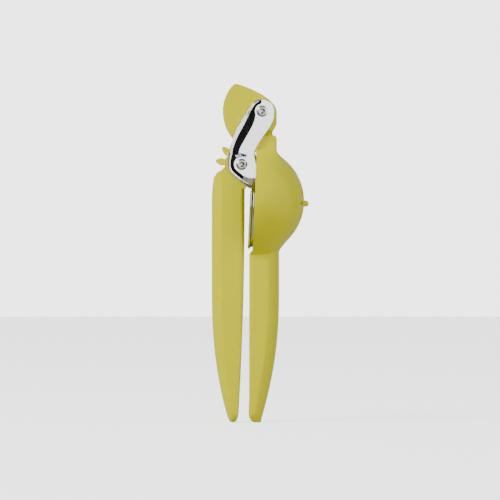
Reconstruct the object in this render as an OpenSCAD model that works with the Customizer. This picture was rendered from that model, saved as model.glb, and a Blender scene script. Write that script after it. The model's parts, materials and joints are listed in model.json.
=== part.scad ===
// Geared citrus press: a nylon bowl with a fixed grip, a steel plunger on two arms,
// and a nylon lever whose gear rolls round a gear fixed in the head.
// X runs from the lever to the bowl, Z up, Y across; the origin is under the middle.

/* [Bowl] */
// Outer radius of the pressing bowl
bowl_r = 36.8; // [31:0.1:44.2]
// Wall of the bowl
bowl_wall = 3; // [2.4:0.1:3.6]
// Degrees by which the bowl's axis points down
bowl_tilt = 2.5; // [0:0.5:4]
// Distance from the bowl's centre to the plane of its rim
rim_setback = 3.1; // [2:0.1:5]
// How far the bowl's centre lies behind the upper pin
bowl_back = 8.2; // [7.5:0.1:9]
// Number of drain slots round the nipple
slot_count = 8; // [6:1:10]
// Width of a drain slot
slot_w = 2.2; // [1.2:0.1:2.2]
// Radius at which the drain slots start
slot_start = 4; // [3.2:0.1:4.5]
// Radius at which the drain slots end
slot_end = 13.5; // [8:0.1:16]
// Radius of the nipple on the bowl
nipple_r = 2.1; // [1.5:0.1:2.5]
// How far the nipple stands out of the bowl
nipple_len = 3.2; // [2:0.1:5]

/* [Neck and head] */
// Length of the neck, from the upper pin to the top of the bowl
neck_len = 23.7; // [23:0.1:28.4]
// Distance from the upper pin to the front of the neck
neck_front = 9.9; // [9:0.1:12]
// Distance from the upper pin to the back of the neck
neck_rear = 4.5; // [3.5:0.1:5]
// Height of the step between the gear covers and the neck
seam_gap = 2.8; // [1:0.1:4]
// Depth below the upper pin at which the gear covers end
cover_drop = 13; // [11:0.1:14]
// Thickness of one gear cover
cover_t = 5; // [3.5:0.1:6]
// Radius of the blend between the bowl and the neck
neck_blend_r = 6; // [3:0.5:8]
// Radius of the blend between the bowl and the fixed grip
grip_blend_r = 10; // [5:0.5:12]

/* [Gears] */
// Module of the gear pair
gear_module = 2.75; // [2.3:0.05:3.3]
// Teeth that a whole fixed gear would have
fixed_teeth = 17; // [16:1:18]
// Teeth that a whole lever gear would have
lever_teeth = 11; // [11:1:12]
// Width of the fixed gear
gear_w = 13.6; // [11:0.2:16.4]
// Play between the flanks of the teeth
backlash = 0.35; // [0.3:0.05:0.6]
// Direction from the upper to the lower pin, in degrees
mesh_dir = 249; // [247:0.5:251]
// Degrees by which the engaged tooth leads the line of centres
tooth_lead = 3.5; // [2:0.5:5]

/* [Arms and pins] */
// Thickness of a steel arm
arm_t = 2; // [1.6:0.1:2.4]
// Radius of an arm's round upper end
arm_top_r = 8.2; // [7.5:0.1:9]
// Radius of an arm's outline round the lower pin
arm_knee_r = 9.3; // [8:0.1:10]
// Diameter of the pins
pin_d = 5; // [4.2:0.1:6]
// Wall of the steel bushes that the pins turn in
bush_wall = 1; // [0.8:0.1:1.2]
// Gap between a pin and its bush, on the radius
running_gap = 0.05; // [0.03:0.01:0.09]
// Radius of a rivet head
head_r = 3.9; // [3.6:0.1:4.6]
// Height of a rivet head
head_h = 1.2; // [0.8:0.1:1.6]
// Thickness of the plastic washers under the arms
washer_t = 0.5; // [0.4:0.05:0.8]
// Gap beside a washer
washer_gap = 0.1; // [0.05:0.05:0.2]

/* [Plunger] */
// Room for the rind between the plunger and the bowl
rind_gap = 6.3; // [5:0.1:8]
// Wall of the pressed plunger
plunger_wall = 1.6; // [1.2:0.1:2]
// Gap between the plunger's lip and the inside of the rim
lip_gap = 1.3; // [1:0.1:2]
// Depth of the plunger's lip
lip_depth = 3.2; // [2:0.1:4]

/* [Grips] */
// Length of the grips below the bowl
grip_len = 113.3; // [95:0.1:136]
// Width across a grip at its upper end
grip_w = 24; // [20.4:0.2:24.4]
// Depth of the fixed grip, front to back, at its upper end
grip_depth = 20.4; // [17:0.1:22]
// Depth of the lever at its upper end
lever_depth = 22.4; // [20:0.1:24]
// Gap between the grips at their upper end, in the drawn position
grip_gap = 3; // [2.5:0.1:4]
// Height of the rounded back of a grip
grip_crown = 7; // [5:0.1:9]
// Wall of the hollow grips
grip_wall = 2.6; // [2:0.1:3.2]
// Thickness of the ribs across the hollow grips
rib_t = 2.4; // [1.6:0.1:3]
// Number of pockets in the fixed grip
fixed_pockets = 5; // [4:1:6]
// Number of pockets in the lever
lever_pockets = 6; // [5:1:8]

/* [Dowels] */
// Diameter of the steel dowels
dowel_d = 3; // [2.4:0.1:3.4]
// Skin left over the blind end of a dowel
dowel_skin = 2; // [1.5:0.1:2.5]

/* [Hidden] */
$fn = 96;

yellow = [0.93, 0.88, 0.05];
steel = [0.80, 0.81, 0.82];
dark_steel = [0.60, 0.61, 0.63];
clear_nylon = [0.90, 0.90, 0.86];
slack = 0.01;            // how far a cutter runs past a face

// Gear pair: radii, centre distance and the angles of the teeth that are there
fixed_pitch_r = gear_module * fixed_teeth / 2;
lever_pitch_r = gear_module * lever_teeth / 2;
addendum = gear_module;
dedendum = 1.25 * gear_module;
pressure_angle = 25;
flank_steps = 6;
lever_root_r = lever_pitch_r - dedendum;
lever_tip_r = lever_pitch_r + addendum;
fixed_root_r = fixed_pitch_r - dedendum;
fixed_tip_r = fixed_pitch_r + addendum;
lower_pin_at = polar(fixed_pitch_r + lever_pitch_r, mesh_dir);
lever_tooth_angles = [for (k = [0:3]) mesh_dir - 180 + tooth_lead + k * 360 / lever_teeth];
fixed_space = mesh_dir - tooth_lead * lever_teeth / fixed_teeth;
fixed_tooth_angles = [for (k = [4:-1:0]) fixed_space + (180 - k * 360) / fixed_teeth];

// Stack across the press: gear, covers, washers, arms, rivet heads
gear_side = gear_w / 2;
gear_gap = 0.2;
cover_in = gear_side + gear_gap;
head_side = cover_in + cover_t;
arm_in = head_side + washer_t + washer_gap;
arm_out = arm_in + arm_t;
lever_side = min(grip_w / 2, head_side);
dowel_r = dowel_d / 2;
pin_r = pin_d / 2;
bush_in_r = pin_r + running_gap;
bush_out_r = bush_in_r + bush_wall;

// Head: the covers hide the fixed gear and end clear of the lever's hub
cover_margin = 0.5;
leaf_r = fixed_tip_r + cover_margin;
hub_r = fixed_pitch_r + lever_pitch_r - leaf_r - cover_margin;
leaf_top_dir = 141;
leaf_tip_r = 3.2;

// Bowl and plunger
bowl_c = [-bowl_back, -(neck_len + bowl_r)];
cavity_r = bowl_r - bowl_wall;
dome_r = cavity_r - rind_gap;
lip_r = cavity_r - lip_gap;
lip_back = -0.2;
dome_start = 12;
hub_clearance = 1.66;
cut_dir = 61.7;

// Grips: tips, edges and the stations that their sections stand at
bowl_bottom = bowl_c.y - bowl_r;
tip_z = bowl_bottom - grip_len;
fixed_in_x = -8.8;
fixed_out_x = fixed_in_x + grip_depth;
lever_in_x = fixed_in_x - grip_gap;
lever_out_x = lever_in_x - lever_depth;
taper_from = bowl_bottom - 24.7;
taper_power = 2.3;
grip_step = 7;
tip_round = 6.4;
shoulder_z = lower_pin_at.y - 4.7;

// The press stands on its grip tips, with the origin midway between back and nipple
nipple_tip_x = bowl_c.x + (bowl_r + nipple_len) * cos(bowl_tilt);
pin_x = -(lever_out_x + nipple_tip_x) / 2;

function polar(r, a) = [r * cos(a), r * sin(a)];
function arc(c, r, a0, a1, n) = [for (i = [0:n]) c + polar(r, a0 + (a1 - a0) * i / n)];
function bezier(p, n) = [for (i = [0:n]) let (t = i / n, s = 1 - t)
    s * s * s * p[0] + 3 * s * s * t * p[1] + 3 * s * t * t * p[2] + t * t * t * p[3]];

// Half the angle of a tooth at radius r; the flank is an involute outside its base circle
function involute(a) = tan(a) * 180 / PI - a;
function half_tooth(r, pitch_r) =
    let (base_r = pitch_r * cos(pressure_angle), at = acos(min(1, base_r / r)))
    (PI * gear_module - backlash) / 4 / pitch_r * 180 / PI
    + involute(pressure_angle) - involute(at);
function tooth(a, pitch_r, root_r, tip_r) = concat(
    [for (i = [0:flank_steps]) let (r = root_r + (tip_r - root_r) * i / flank_steps)
        polar(r, a - half_tooth(r, pitch_r))],
    [for (i = [flank_steps:-1:0]) let (r = root_r + (tip_r - root_r) * i / flank_steps)
        polar(r, a + half_tooth(r, pitch_r))]);

// Leaf-shaped outline of the head, drawn in from its edge by inset
function leaf_front(inset) = concat(
    [[7, -cover_drop], [neck_front - 1.3 - inset, -cover_drop + 2.3],
     [neck_front - inset, -cover_drop + 5]],
    bezier([[neck_front - inset, -1], [neck_front - inset, 8 - inset],
            [-5, 14.4 - inset], [-14.5, 17.9 - inset]], 14));
function leaf_corner(inset) = [for (a = [80, 100, 120])
    polar(leaf_r - inset - leaf_tip_r, leaf_top_dir - 2) + polar(leaf_tip_r, a)];

// The bowl's own frame: +Z runs along its axis to the nipple
module on_bowl_axis() {
    translate([bowl_c.x, 0, bowl_c.y]) rotate([0, 90 + bowl_tilt, 0]) children();
}

// Puts a piece drawn round the upper pin into the part's frame
module placed() {
    translate([pin_x, 0, -tip_z]) children();
}

// A plate with a side outline, from y0 to y1
module side_plate(points, y0, y1) {
    translate([0, y1, 0]) rotate([90, 0, 0]) linear_extrude(y1 - y0) polygon(points);
}

// A round bar along Y
module cross_rod(c, r, y0, y1) {
    translate([c.x, y1, c.y]) rotate([90, 0, 0]) cylinder(r = r, h = y1 - y0);
}

// ---- Grips -------------------------------------------------------------------

// Section of a grip: a flat inner face with eased corners, flat sides, a crowned back.
// x_flat is the inner face, x_back the back and w the half width.
function grip_section(x_flat, x_back, w, z) =
    let (dir = sign(x_back - x_flat),
         depth = abs(x_back - x_flat),
         ease = min(1.6, depth / 4, w / 4),
         crown = min(grip_crown, depth / 2, w * 0.9),
         arc_r = (w * w + crown * crown) / 2 / crown,
         half = asin(w / arc_r),
         local = concat([[0, -(w - ease)], [ease, -w]],
             [for (i = [0:10]) let (a = -half + half * i / 5)
                 [depth - arc_r + arc_r * cos(a), arc_r * sin(a)]],
             [[ease, w], [0, w - ease]]))
    [for (p = dir > 0 ? local : [for (i = [len(local) - 1:-1:0]) local[i]])
        [x_flat + dir * p.x, p.y, z]];

// Solid through a list of sections, the first one the highest
module swept(sections) {
    n = len(sections[0]);
    last = len(sections) - 1;
    polyhedron(
        points = [for (s = sections) each s],
        faces = concat(
            [[for (i = [n - 1:-1:0]) i]],
            [for (k = [0:last - 1], i = [0:n - 1]) let (j = (i + 1) % n)
                each [[k * n + i, k * n + j, (k + 1) * n + i],
                      [k * n + j, (k + 1) * n + j, (k + 1) * n + i]]],
            [[for (i = [0:n - 1]) last * n + i]]));
}

// Share of the taper and of the rounded tip that has been reached at height z
function taper(z) = z > taper_from ? 0 : pow((taper_from - z) / (taper_from - tip_z), taper_power);
function tip_share(z) = z > tip_z + tip_round ? 0
    : 1 - sqrt(max(0, 1 - pow((tip_z + tip_round - z) / tip_round, 2)));
function grip_half_w(z) =
    lever_side - 2.6 * taper(z) - 6.2 * tip_share(z);
function fixed_in(z) = fixed_in_x + 5.0 * tip_share(z)
    + 0.08 * pow(max(0, z - bowl_bottom + 3), 2);
function fixed_out(z) = fixed_out_x - 13.2 * taper(z) - 0.6 * tip_share(z);
function lever_in(z) = lever_in_x - 3.0 * tip_share(z)
    - 4.5 * pow(max(0, (bowl_c.y - z) / (bowl_c.y - tip_z)), 2);
function lever_out(z) = lever_out_x + 11.7 * taper(z) + 0.8 * tip_share(z)
    + 2.0 * pow(max(0, (z - bowl_c.y) / (shoulder_z - bowl_c.y)), 2);

// Heights of the sections: even steps down a grip, then closer ones round its tip
function grip_heights(top) =
    let (n = ceil((top - tip_z - tip_round) / grip_step))
    concat([for (i = [0:n]) top - (top - tip_z - tip_round) * i / n],
           [for (a = [25, 45, 62, 76, 86]) tip_z + tip_round * (1 - sin(a))]);

// Pockets between the ribs, open at the inner face
module grip_pockets(top, bottom, count, dir) {
    pitch = (top - bottom) / count;
    for (k = [0:count - 1]) {
        z1 = top - pitch * k - rib_t / 2;
        z0 = z1 - pitch + rib_t;
        swept([for (i = [0:3]) let (z = z1 + (z0 - z1) * i / 3)
            dir > 0
            ? grip_section(fixed_in(z) - 3, fixed_out(z) - grip_wall, grip_half_w(z) - grip_wall, z)
            : grip_section(lever_in(z) + 3, lever_out(z) + grip_wall, grip_half_w(z) - grip_wall, z)]);
    }
}

// ---- Bowl frame ----------------------------------------------------------------

module bowl_shell() {
    rotate_extrude()
        difference() {
            union() {
                intersection() {
                    circle(bowl_r);
                    translate([0, rim_setback]) square([bowl_r + 1, bowl_r]);
                }
                translate([0, bowl_r - 1]) square([nipple_r, nipple_len + 1 - nipple_r]);
                translate([0, bowl_r + nipple_len - nipple_r]) circle(nipple_r);
            }
            circle(cavity_r);
            translate([-2 * bowl_r, -bowl_r]) square([2 * bowl_r, 4 * bowl_r]);
        }
}

module drain_slots() {
    for (k = [0:slot_count - 1])
        rotate([0, 0, 360 * k / slot_count])
            translate([slot_start, -slot_w / 2, bowl_r / 2])
                cube([slot_end - slot_start, slot_w, bowl_r]);
}

// Concave blend between the bowl and a straight face at x; up is 1 above, -1 below
function blend_outline(x, r, up) =
    let (dx = x + r - bowl_c.x,
         reach = bowl_r + r,
         c = [x + r, bowl_c.y + up * sqrt(reach * reach - dx * dx)],
         a1 = atan2(bowl_c.y - c.y, bowl_c.x - c.x))
    concat([[x, c.y + up * 2]], arc(c, r, -180 * up, a1, 8),
           [[bowl_c.x + bowl_r / 3, c.y - up * bowl_r * 0.35], [x - 6, c.y + up * 2]]);

module neck() {
    top = -cover_drop - seam_gap;
    foot = bowl_c.y + cavity_r * 0.9;
    side_plate([[neck_front - 0.9, top], [neck_front, top - 2.5], [neck_front, foot],
                [-neck_rear, foot], [-neck_rear, top + 0.6], [-neck_rear + 0.6, top]],
               -head_side, head_side);
    side_plate(blend_outline(neck_front, neck_blend_r, 1), -head_side, head_side);
}

// Slot in the neck for the tail of the fixed gear
tail_bottom = -(neck_len + bowl_wall);
tail_rear = -2;
tail_front = 7;
module neck_slot() {
    side_plate([[tail_rear, tail_bottom], [tail_front, tail_bottom], [tail_front, 0],
                [tail_rear, 0]], -gear_side, gear_side);
    side_plate([[-neck_rear - 1, bowl_c.y + bowl_r - 6], [tail_rear + slack, bowl_c.y + bowl_r - 6],
                [tail_rear + slack, 0], [-neck_rear - 1, 0]], -cover_in, cover_in);
}

neck_dowel_at = [[2.5, -19], [2.5, -24]];
module neck_dowel_set() {
    for (c = neck_dowel_at) cross_rod(c, dowel_r, -head_side + dowel_skin, head_side);
}

module bowl_frame() {
    grip_top = bowl_bottom + 2.2;
    color(yellow) placed() difference() {
        union() {
            difference() {
                union() {
                    neck();
                    side_plate(blend_outline(fixed_out_x, grip_blend_r, -1),
                               -lever_side * 0.6, lever_side * 0.6);
                }
                on_bowl_axis() sphere(cavity_r + bowl_wall / 2);
            }
            on_bowl_axis() bowl_shell();
            difference() {
                swept([for (z = grip_heights(grip_top))
                    grip_section(fixed_in(z), fixed_out(z), grip_half_w(z), z)]);
                on_bowl_axis() sphere(cavity_r + bowl_wall / 2);
                on_bowl_axis() translate([0, -bowl_r, rim_setback - 12])
                    cube([bowl_r + 1.4, 2 * bowl_r, 12]);
                grip_pockets(bowl_bottom - 4, tip_z + 12, fixed_pockets, 1);
            }
        }
        on_bowl_axis() drain_slots();
        neck_slot();
        neck_dowel_set();
    }
}

// ---- Head: fixed gear and its covers ---------------------------------------------

cover_dowel_at = [[-13, 9], [-12, -9]];

module cover_dowel_set() {
    side = head_side - dowel_skin;
    for (c = cover_dowel_at) cross_rod(c, dowel_r, -side, side);
}

module fixed_gear() {
    teeth_from = fixed_tooth_angles[0] - 180 / fixed_teeth;
    outline = concat(
        leaf_front(1), leaf_corner(1), arc([0, 0], leaf_r - 1, leaf_top_dir, teeth_from, 8),
        [for (a = fixed_tooth_angles) each tooth(a, fixed_pitch_r, fixed_root_r, fixed_tip_r)],
        [[tail_rear, -fixed_root_r], [tail_rear, tail_bottom], [tail_front, tail_bottom]]);
    color(yellow) placed() difference() {
        side_plate(outline, -gear_side, gear_side);
        cross_rod([0, 0], bush_out_r, -head_side, head_side);
        cover_dowel_set();
        neck_dowel_set();
    }
}

module gear_cover(y0, y1) {
    rear = neck_rear + 0.3;
    end_dir = 180 + acos(rear / leaf_r);
    outline = concat(leaf_front(0), leaf_corner(0),
        arc([0, 0], leaf_r, leaf_top_dir, end_dir, 36), [[-rear, -cover_drop]]);
    color(yellow) placed() difference() {
        side_plate(outline, y0, y1);
        cross_rod([0, 0], bush_out_r, -head_side - 1, head_side + 1);
        cover_dowel_set();
    }
}
module gear_cover_right() { gear_cover(-head_side, -gear_side); }
module gear_cover_left() { gear_cover(gear_side, head_side); }

module cover_dowels() { color(dark_steel) placed() cover_dowel_set(); }
module neck_dowels() { color(dark_steel) placed() neck_dowel_set(); }

module bush(c) {
    color(dark_steel) placed() difference() {
        cross_rod(c, bush_out_r, -head_side, head_side);
        cross_rod(c, bush_in_r, -head_side - 1, head_side + 1);
    }
}
module upper_bush() { bush([0, 0]); }
module lower_bush() { bush(lower_pin_at); }

// ---- Plunger: arms, dome, bridge and pins ------------------------------------------

// Side of the slanting plane on which the plunger's shell is kept, clear of the lever's hub
module dome_side() {
    translate([lower_pin_at.x, 0, lower_pin_at.y]) rotate([0, 90 - cut_dir, 0])
        translate([lever_root_r + hub_clearance, -100, -150]) cube([150, 200, 300]);
}

bead_t = 1.6;
groove = 1.3;
module dome_solid() {
    neck_r = lip_r - groove;
    on_bowl_axis() rotate_extrude() polygon(concat(
        [[0, lip_back], [lip_r - 0.4, lip_back], [lip_r, lip_back + 0.4],
         [lip_r, lip_back + bead_t], [neck_r, lip_back + bead_t + 0.5], [neck_r, lip_depth]],
        arc([0, 0], dome_r, dome_start, 90, 30)));
}
module dome_cavity() {
    on_bowl_axis() rotate_extrude() polygon(concat(
        [[0, lip_back - 1], [lip_r - groove - plunger_wall, lip_back - 1],
         [lip_r - groove - plunger_wall, lip_depth - 0.6]],
        arc([0, 0], dome_r - plunger_wall, dome_start, 90, 30)));
}

bridge_top = bowl_c + polar(20.2, 44);
bridge_foot = bowl_c + polar(10.6, 29);

module arm(y0, y1) {
    foot_z = bridge_foot.y - 1.5;
    knee = lower_pin_at;
    outline = concat(
        arc([0, 0], arm_top_r, -12, 146, 14),
        bezier([polar(arm_top_r, 150), polar(14.6, 202), [-22.8, -18.5],
                knee + polar(arm_knee_r, 175)], 10),
        arc(knee, arm_knee_r, 185, 232, 6),
        [knee + [0.3, -12.6], knee + [5.9, -16], [bridge_foot.x, foot_z],
         [bowl_c.x + dome_r, foot_z], [bowl_c.x + dome_r, knee.y - 5],
         [-0.4, knee.y - 4.6], [-3.4, knee.y - 1.2], [-4.9, knee.y + 5]],
        bezier([[-5.3, knee.y + 7.4], [-2.5, -18], [arm_top_r, -11.5], [arm_top_r, -1.7]], 10));
    color(steel) placed() difference() {
        side_plate(outline, y0, y1);
        difference() {
            dome_side();
            dome_cavity();
        }
        cross_rod([0, 0], pin_r, -arm_out - 1, arm_out + 1);
        cross_rod(knee, pin_r, -arm_out - 1, arm_out + 1);
        bridge_rivet_set();
    }
}
module arm_right() { arm(-arm_out, -arm_in); }
module arm_left() { arm(arm_in, arm_out); }

module plunger_dome() {
    color(steel) placed() difference() {
        intersection() {
            dome_solid();
            dome_side();
        }
        dome_cavity();
        cross_rod(lower_pin_at, lever_tip_r + 0.6, -cover_in - 0.6, cover_in + 0.6);
    }
}

bridge_t = 2;
bridge_flange = 1.5;
rivet_r = 1.5;
rivet_head_r = 2.4;
rivet_head_h = 0.8;
bridge_dir = atan2(bridge_foot.y - bridge_top.y, bridge_foot.x - bridge_top.x);
bridge_rivet_at = [for (t = [0.22, 0.78])
    bridge_top + (bridge_foot - bridge_top) * t + polar(3.2, bridge_dir - 90)];

module bridge_rivet_set() {
    for (c = bridge_rivet_at, s = [-1, 1]) {
        y_in = arm_in - bridge_flange;
        cross_rod(c, rivet_r, s > 0 ? y_in : -arm_out, s > 0 ? arm_out : -y_in);
        cross_rod(c, rivet_head_r, s > 0 ? arm_out : -arm_out - rivet_head_h,
                  s > 0 ? arm_out + rivet_head_h : -arm_out);
        cross_rod(c, rivet_head_r, s > 0 ? y_in - rivet_head_h : -y_in,
                  s > 0 ? y_in : -y_in + rivet_head_h);
    }
}

// Folded channel between the arms, which carries the push into the dome
module bridge() {
    side = polar(bridge_t, bridge_dir - 90);
    lap = polar(6.5, bridge_dir - 90);
    color(steel) placed() difference() {
        union() {
            side_plate([bridge_top, bridge_foot, bridge_foot + side, bridge_top + side],
                       -arm_in, arm_in);
            for (s = [-1, 1])
                side_plate([bridge_top, bridge_foot, bridge_foot + lap, bridge_top + lap],
                           s > 0 ? arm_in - bridge_flange : -arm_in,
                           s > 0 ? arm_in : -arm_in + bridge_flange);
        }
        bridge_rivet_set();
    }
}
module bridge_rivets() { color(dark_steel) placed() bridge_rivet_set(); }

// Pin through both arms, with a domed and dimpled head on each end
module riveted_pin(c) {
    color(dark_steel) placed() translate([c.x, 0, c.y]) rotate([90, 0, 0]) rotate_extrude()
        polygon(concat(
            [[0, -arm_out - head_h + 0.4], [head_r * 0.35, -arm_out - head_h + 0.4],
             [head_r * 0.5, -arm_out - head_h], [head_r * 0.75, -arm_out - head_h],
             [head_r, -arm_out - head_h / 3], [head_r, -arm_out], [pin_r, -arm_out]],
            [[pin_r, arm_out], [head_r, arm_out], [head_r, arm_out + head_h / 3],
             [head_r * 0.75, arm_out + head_h], [head_r * 0.5, arm_out + head_h],
             [head_r * 0.35, arm_out + head_h - 0.4], [0, arm_out + head_h - 0.4]]));
}
module upper_pin() { riveted_pin([0, 0]); }
module lower_pin() { riveted_pin(lower_pin_at); }

module washers(c) {
    color(clear_nylon) placed() for (s = [-1, 1]) difference() {
        cross_rod(c, head_r + 2.6, s > 0 ? arm_in - washer_t : -arm_in,
                  s > 0 ? arm_in : -arm_in + washer_t);
        cross_rod(c, pin_r + 0.2, -arm_out, arm_out);
    }
}
module upper_washers() { washers([0, 0]); }
module lower_washers() { washers(lower_pin_at); }

// ---- Lever: grip, gear and dowels -----------------------------------------------------

lever_dowel_at = [lower_pin_at + polar(8, 215), lower_pin_at + polar(13.5, 262)];
module lever_dowel_set() {
    for (c = lever_dowel_at) cross_rod(c, dowel_r, -lever_side + dowel_skin, lever_side);
}

// Tail of the lever's gear, which fills the slot between the lever's cheeks
function gear_tail() = [polar(lever_root_r, 190), polar(lever_root_r, 300), [0.6, -15.5],
                        [-1, -19], polar(lever_root_r, 190) + [0, -17]];

module lever_gear_outline(grow) {
    pin = lower_pin_at;
    side_plate(concat(
        [for (a = lever_tooth_angles) each
            [for (p = tooth(a, lever_pitch_r, lever_root_r, lever_tip_r)) pin + p]],
        [for (p = arc([0, 0], lever_root_r, 190, 410, 40)) pin + p]),
        -gear_side + grow, gear_side - grow);
    side_plate([for (p = gear_tail()) pin + p], -gear_side + grow, gear_side - grow);
}

module lever_gear() {
    color(yellow) placed() difference() {
        lever_gear_outline(gear_gap);
        cross_rod(lower_pin_at, bush_out_r, -head_side, head_side);
        lever_dowel_set();
    }
}

module lever_handle() {
    pin = lower_pin_at;
    grip_top = shoulder_z - 0.6;
    color(yellow) placed() difference() {
        union() {
            swept([for (z = grip_heights(grip_top))
                grip_section(lever_in(z), lever_out(z), grip_half_w(z), z)]);
            cross_rod(pin, hub_r, -lever_side, lever_side);
            side_plate([pin + polar(hub_r - 1, 181), [lever_out_x + 6.5, shoulder_z + 0.9],
                        [lever_out_x + 9, shoulder_z - 6], [lever_in_x - 0.2, shoulder_z - 12],
                        pin + polar(hub_r - 1, 328)],
                       -lever_side, lever_side);
            side_plate([pin + polar(hub_r - 2, 185), [lever_out_x + 2.6, shoulder_z - 0.3],
                        [lever_out_x + 2.7, shoulder_z - 3.3], pin + [-2, -8]],
                       -lever_side * 0.62, lever_side * 0.62);
        }
        grip_pockets(bowl_c.y - 2, tip_z + 12, lever_pockets, -1);
        cross_rod(pin, lever_tip_r + 0.4, -gear_side + gear_gap, gear_side - gear_gap);
        side_plate([for (p = gear_tail()) pin + p], -gear_side + gear_gap, gear_side - gear_gap);
        cross_rod(pin, bush_out_r, -head_side, head_side);
        lever_dowel_set();
    }
}
module lever_dowels() { color(dark_steel) placed() lever_dowel_set(); }

bowl_frame();
fixed_gear();
gear_cover_right();
gear_cover_left();
cover_dowels();
neck_dowels();
upper_bush();
arm_right();
arm_left();
plunger_dome();
bridge();
bridge_rivets();
upper_pin();
lower_pin();
upper_washers();
lower_washers();
lever_handle();
lever_gear();
lower_bush();
lever_dowels();
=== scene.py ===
"""Looks of a geared citrus press, put together in the order in which it is built."""
import json
import math

import bpy
import numpy as np
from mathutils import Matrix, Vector


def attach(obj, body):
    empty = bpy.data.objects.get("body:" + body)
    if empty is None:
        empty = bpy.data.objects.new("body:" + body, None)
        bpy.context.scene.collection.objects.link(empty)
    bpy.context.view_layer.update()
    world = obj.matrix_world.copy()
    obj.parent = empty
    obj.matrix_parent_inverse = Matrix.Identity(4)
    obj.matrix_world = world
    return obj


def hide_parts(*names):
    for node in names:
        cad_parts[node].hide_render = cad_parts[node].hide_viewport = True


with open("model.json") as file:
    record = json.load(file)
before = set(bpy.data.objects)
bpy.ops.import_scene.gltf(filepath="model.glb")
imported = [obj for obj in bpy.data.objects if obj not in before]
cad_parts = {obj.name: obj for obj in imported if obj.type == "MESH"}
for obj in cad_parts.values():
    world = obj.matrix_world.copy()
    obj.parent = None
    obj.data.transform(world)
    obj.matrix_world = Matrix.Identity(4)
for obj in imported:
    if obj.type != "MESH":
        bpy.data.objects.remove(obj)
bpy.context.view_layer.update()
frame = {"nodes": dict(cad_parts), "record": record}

# ---- Bowl frame ------------------------------------------------------------------
# One yellow nylon moulding: the pressing bowl with its drain slots and nipple, the neck
# that holds the head, and the fixed grip, hollow on the side that faces the lever.
# Lengths are millimetres from the upper pin, X to the bowl and Z up, until place() moves them.
joints = {j["name"]: j for j in frame["record"]["behaviour"]["joints"]}
UPPER_PIN = np.array(joints["plunger_swing"]["pos_m"])
LOWER_PIN = (np.array(joints["lever_pivot"]["pos_m"]) - UPPER_PIN) * 1000
TIP_Z = -UPPER_PIN[2] * 1000

BOWL_CENTRE = np.array([-8.2, 0.0, -60.5])
BOWL_R = 36.8
CAVITY_R = 33.8
BOWL_TILT = math.radians(2.5)
RIM_SETBACK = 3.1
SLOTS = 8
SLOT = (1.1, 4.0, 13.5)            # half width, start and end from the nipple's middle
NIPPLE_R = 2.1
NECK = (-4.5, 9.9, 12.0)           # back, front and half width of the neck
NECK_TOP = -15.8
NECK_ROUND = 1.2                   # round of the neck's upper edge, at its back and sides
NECK_SLOPE = 2.8                   # the larger round at its front
GRIP_FACE = -8.8
GRIP_BACK = 11.6
GRIP_HALF_W = 12.0
GRIP_CROWN = 7.0
GRIP_WALL = 2.6
TAPER_FROM = -122.0
TIP_ROUND = 6.4
RIB = 2.4
DOWEL_R = 1.5
CUT_SHARP = 38                     # edges that turn by more degrees than this stay sharp
ROUND = 160                        # points round a section
FAR = 1e4                          # stands for no limit, where a direction misses a side


def place(points):
    """Millimetres from the upper pin to the part's metres."""
    return np.asarray(points, float) * 0.001 + UPPER_PIN


def mesh_piece(name, points, faces, sharp=CUT_SHARP):
    """A mesh object at the origin, smooth but for edges that turn by more than sharp degrees."""
    mesh = bpy.data.meshes.new(name)
    mesh.from_pydata(place(points).tolist(), [], faces)
    mesh.update()
    piece = bpy.data.objects.new(name, mesh)
    bpy.context.scene.collection.objects.link(piece)
    smooth_by_angle(mesh, sharp)
    return piece


def smooth_by_angle(mesh, degrees):
    """Smooth shading, with an edge kept sharp where its two faces turn by more than degrees."""
    mesh.shade_smooth()
    mesh.set_sharp_from_angle(angle=math.radians(degrees))


def skin_faces(rings, round_):
    """Quads between neighbouring rings, and a fan of triangles from each end point."""
    i = np.arange(round_)
    j = (i + 1) % round_
    quads = [np.stack([k * round_ + i, k * round_ + j, (k + 1) * round_ + j, (k + 1) * round_ + i], 1)
             for k in range(rings - 1)]
    first = rings * round_
    last = (rings - 1) * round_
    ends = [np.stack([np.full(round_, first), j, i], 1),
            np.stack([np.full(round_, first + 1), last + i, last + j], 1)]
    return [row.tolist() for block in quads + ends for row in block]


def ring_solid(name, rings, sharp=CUT_SHARP):
    """Closed solid through an array of rings (ring, point, xyz), each end closed at its middle."""
    count, round_, _ = rings.shape
    points = np.concatenate([rings.reshape(-1, 3), [rings[0].mean(0)], [rings[-1].mean(0)]])
    return mesh_piece(name, points, skin_faces(count, round_), sharp)


def cut(piece, tool, how="DIFFERENCE", sharp=CUT_SHARP):
    """Takes tool away from piece (or joins or keeps the common part) and removes tool."""
    step = piece.modifiers.new("cut", "BOOLEAN")
    step.operation = how
    step.solver = "MANIFOLD"
    step.object = tool
    shape = piece.evaluated_get(bpy.context.evaluated_depsgraph_get())
    mesh = bpy.data.meshes.new_from_object(shape)
    mesh.name = piece.name
    piece.modifiers.clear()
    piece.data = mesh
    bpy.data.objects.remove(tool)
    smooth_by_angle(mesh, sharp)


def soft_min(parts, power):
    """The smallest of several distances, eased where two are alike (a negative power mean)."""
    return sum(np.clip(p, 1e-3, FAR) ** -power for p in parts) ** (-1 / power)


def soft_max(a, b, reach):
    """The larger of two distances, with a round blend where they differ by less than reach."""
    near = np.clip(reach - np.abs(a - b), 0, None) / reach
    return np.maximum(a, b) + near * near * reach / 4


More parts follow.
